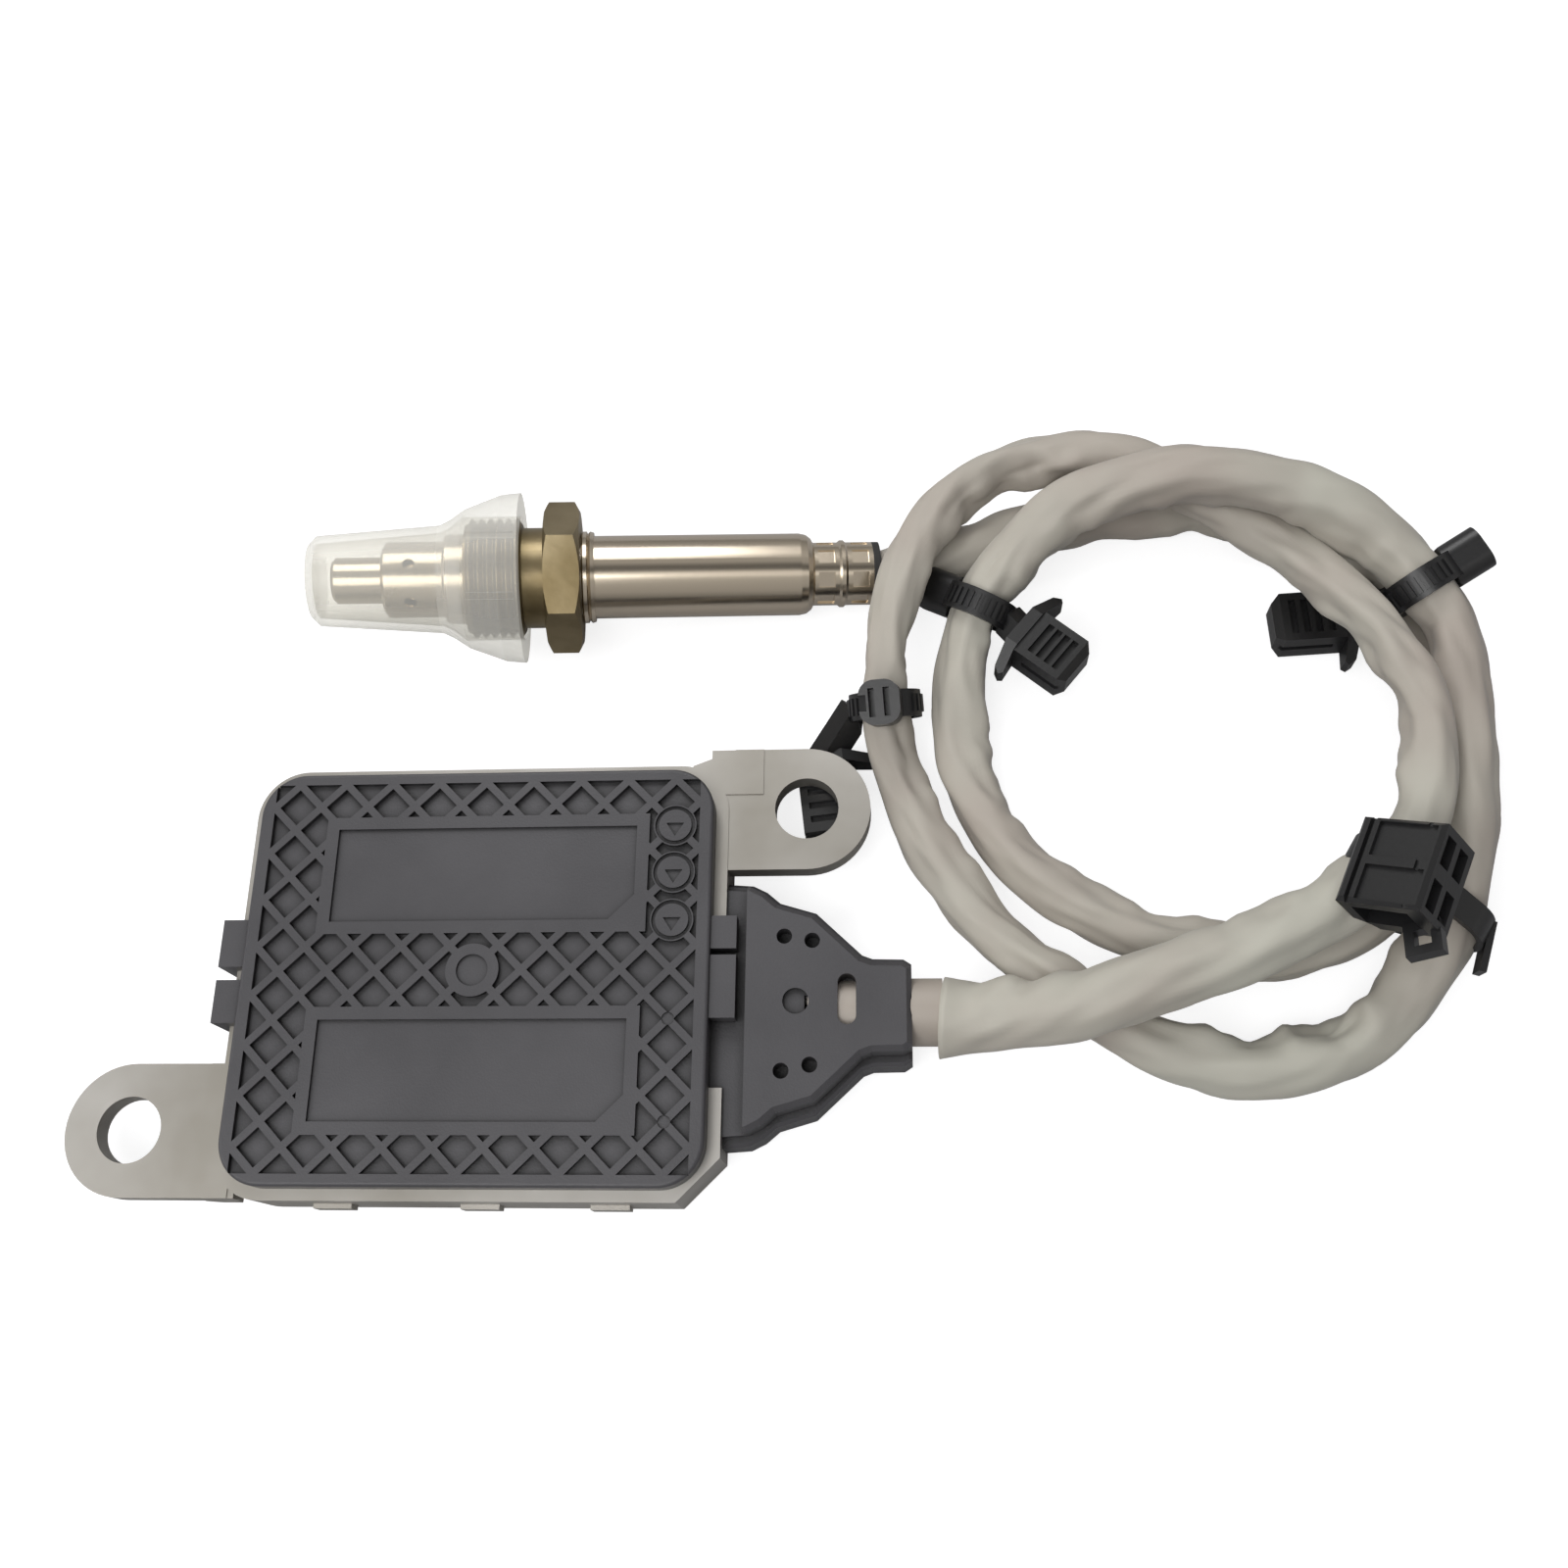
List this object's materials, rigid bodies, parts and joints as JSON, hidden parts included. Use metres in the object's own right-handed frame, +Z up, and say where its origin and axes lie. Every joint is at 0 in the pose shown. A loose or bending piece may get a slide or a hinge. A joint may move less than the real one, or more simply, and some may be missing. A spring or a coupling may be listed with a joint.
{
  "type": "exhaust gas sensor with control unit",
  "caption": "Nitrogen oxide exhaust sensor: flat control unit with two fixing ears, looped grey cable with four clips, and a capped screw-in probe.",
  "frame": {"origin": "centre of the control unit's flat underside", "axes": "+X from the control unit towards its cable outlet, +Y towards the side where the probe lies, +Z up from the underside through the ribbed cover"},
  "size_m": [0.2237, 0.1285, 0.0366],
  "materials": {
    "cast_aluminium": "fine cast, satin",
    "dark_plastic": "fine grained",
    "black_nylon": "moulded, satin",
    "black_rubber": "matt",
    "grey_rubber": "matt",
    "board_green": "lacquered",
    "chip_black": "matt",
    "can_aluminium": "bright",
    "screw_steel": "zinc plated",
    "wire_white": "satin",
    "grey_sleeve": "soft coated sleeve",
    "olive_steel": "passivated",
    "white_ceramic": "fired ceramic",
    "milky_cap": "soft translucent",
    "warm_steel": "drawn, satin"
  },
  "bodies": {
    "sensor": {"board_screw_1": "screw_steel", "board_screw_2": "screw_steel", "board_screw_3": "screw_steel", "board_screw_4": "screw_steel", "cable": "grey_sleeve", "cable_grommet": "black_rubber", "capacitor_1": "can_aluminium", "capacitor_2": "can_aluminium", "circuit_board": "board_green", "contact_carrier": "white_ceramic", "cover": "dark_plastic", "cover_seal": "black_rubber", "edge_clip_block": "black_nylon", "edge_clip_strap": "black_nylon", "fir_tree_clip_1": "black_nylon", "fir_tree_clip_2": "black_nylon", "fir_tree_clip_3": "black_nylon", "front_bushing": "white_ceramic", "housing_base": "cast_aluminium", "inner_protection_tube": "warm_steel", "lead_wire_1": "wire_white", "lead_wire_2": "wire_white", "lead_wire_3": "wire_white", "lead_wire_4": "wire_white", "lead_wire_5": "wire_white", "microcontroller": "chip_black", "outer_protection_tube": "warm_steel", "outlet_gland": "grey_rubber", "outlet_lower_shell": "dark_plastic", "outlet_upper_shell": "dark_plastic", "power_transistor_1": "chip_black", "power_transistor_2": "chip_black", "power_transistor_3": "chip_black", "rear_sleeve": "warm_steel", "sensing_element": "white_ceramic", "sensor_housing": "warm_steel", "terminal_header": "chip_black"},
    "nut": {"union_nut": "olive_steel"},
    "cap": {"protection_cap": "milky_cap"}
  },
  "joints": [
    {"name": "nut_swivel", "type": "hinge", "parent": "sensor", "child": "nut", "pos_m": [0.0087, 0.0677, 0.01342], "axis": [-0.9873, -0.0636, 0.1459], "continuous": true},
    {"name": "cap_slide", "type": "slide", "parent": "nut", "child": "cap", "axis": [-0.9873, -0.0636, 0.1459], "range_m": [0, 0.042]}
  ]
}
